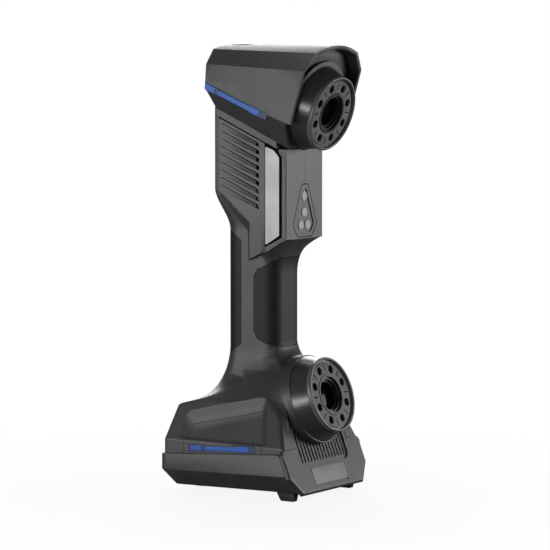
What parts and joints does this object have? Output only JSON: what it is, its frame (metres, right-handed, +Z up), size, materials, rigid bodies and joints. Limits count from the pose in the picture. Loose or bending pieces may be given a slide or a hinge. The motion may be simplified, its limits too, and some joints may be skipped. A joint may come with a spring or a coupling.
{
  "type": "handheld scanner",
  "caption": "Handheld 3D scanner with a hooded camera head, vented upper body, slim rubber-gripped handle and a wide standing base that holds the lower camera.",
  "frame": {"origin": "middle of the scanner's footprint, on the surface its feet stand on", "axes": "+Z up along the handle, -Y the way both cameras look, +X to the operator's left; the scanner is symmetric about X = 0"},
  "size_m": [0.0948, 0.1149, 0.298],
  "materials": {
    "shell_plastic": "fine-textured dark grey moulded plastic",
    "barrel_plastic": "satin black moulded plastic",
    "bezel_metal": "dark anodised, satin",
    "lens_tube_black": "matt black, turned",
    "lens_glass": "coated dark lens glass",
    "grip_rubber": "matt black rubber",
    "button_rubber": "soft-touch dark grey rubber",
    "light_blue": "glossy translucent blue",
    "plate_silver": "bead-blasted silver",
    "window_grey": "light grey diffusing window",
    "board_green": "green solder mask",
    "frame_aluminium": "milled",
    "module_brass": "turned",
    "screw_steel": "black-oxide steel",
    "socket_steel": "nickel-plated",
    "fan_plastic": "black moulded plastic"
  },
  "bodies": {
    "scanner": {"base_board": "board_green", "base_light_strip_left": "light_blue", "base_light_strip_right": "light_blue", "base_skirt": "shell_plastic", "bottom_cover": "shell_plastic", "bottom_screws": "screw_steel", "cable_socket": "socket_steel", "camera_screws": "screw_steel", "fan_frame": "fan_plastic", "flank_panel_left": "shell_plastic", "flank_panel_right": "shell_plastic", "front_feet": "grip_rubber", "front_panel": "shell_plastic", "front_plate": "plate_silver", "grip_front": "grip_rubber", "grip_rear": "grip_rubber", "head_bulkhead": "shell_plastic", "head_light_strip_left": "light_blue", "head_light_strip_right": "light_blue", "head_shroud": "shell_plastic", "head_tray": "shell_plastic", "heat_sink": "frame_aluminium", "housing_left": "shell_plastic", "housing_right": "shell_plastic", "housing_screws": "screw_steel", "keypad_bezel": "shell_plastic", "keypad_board": "board_green", "laser_board": "board_green", "laser_holder": "frame_aluminium", "laser_modules": "module_brass", "laser_panel": "shell_plastic", "laser_windows": "window_grey", "lower_barrel": "barrel_plastic", "lower_bezel_ring": "bezel_metal", "lower_led_board": "board_green", "lower_led_plate": "barrel_plastic", "lower_lens_glass": "lens_glass", "lower_lens_tube": "lens_tube_black", "lower_sensor_board": "board_green", "main_board": "board_green", "name_plate_left": "plate_silver", "name_plate_right": "plate_silver", "rear_foot": "grip_rubber", "side_panel_left": "shell_plastic", "side_panel_right": "shell_plastic", "spine_frame": "frame_aluminium", "top_cap": "barrel_plastic", "upper_barrel": "barrel_plastic", "upper_bezel_ring": "bezel_metal", "upper_led_board": "board_green", "upper_led_plate": "barrel_plastic", "upper_lens_glass": "lens_glass", "upper_lens_tube": "lens_tube_black", "upper_sensor_board": "board_green"},
    "mode_button": {"mode_button": "button_rubber"},
    "plus_button": {"plus_button": "button_rubber"},
    "scan_button": {"scan_button": "button_rubber"},
    "minus_button": {"minus_button": "button_rubber"},
    "fan_rotor": {"fan_rotor": "fan_plastic"}
  },
  "joints": [
    {"name": "mode_press", "type": "slide", "parent": "scanner", "child": "mode_button", "axis": [0, -1, 0], "range_m": [0, 0.0012], "stiffness_N_per_m": 700},
    {"name": "plus_press", "type": "slide", "parent": "scanner", "child": "plus_button", "axis": [0, -1, 0], "range_m": [0, 0.0012], "stiffness_N_per_m": 700},
    {"name": "scan_press", "type": "slide", "parent": "scanner", "child": "scan_button", "axis": [0, -1, 0], "range_m": [0, 0.0012], "stiffness_N_per_m": 900},
    {"name": "minus_press", "type": "slide", "parent": "scanner", "child": "minus_button", "axis": [0, -1, 0], "range_m": [0, 0.0012], "stiffness_N_per_m": 700},
    {"name": "fan_spin", "type": "hinge", "parent": "scanner", "child": "fan_rotor", "pos_m": [-0.013, 0.005, 0.218], "axis": [1, 0, 0], "continuous": true}
  ]
}
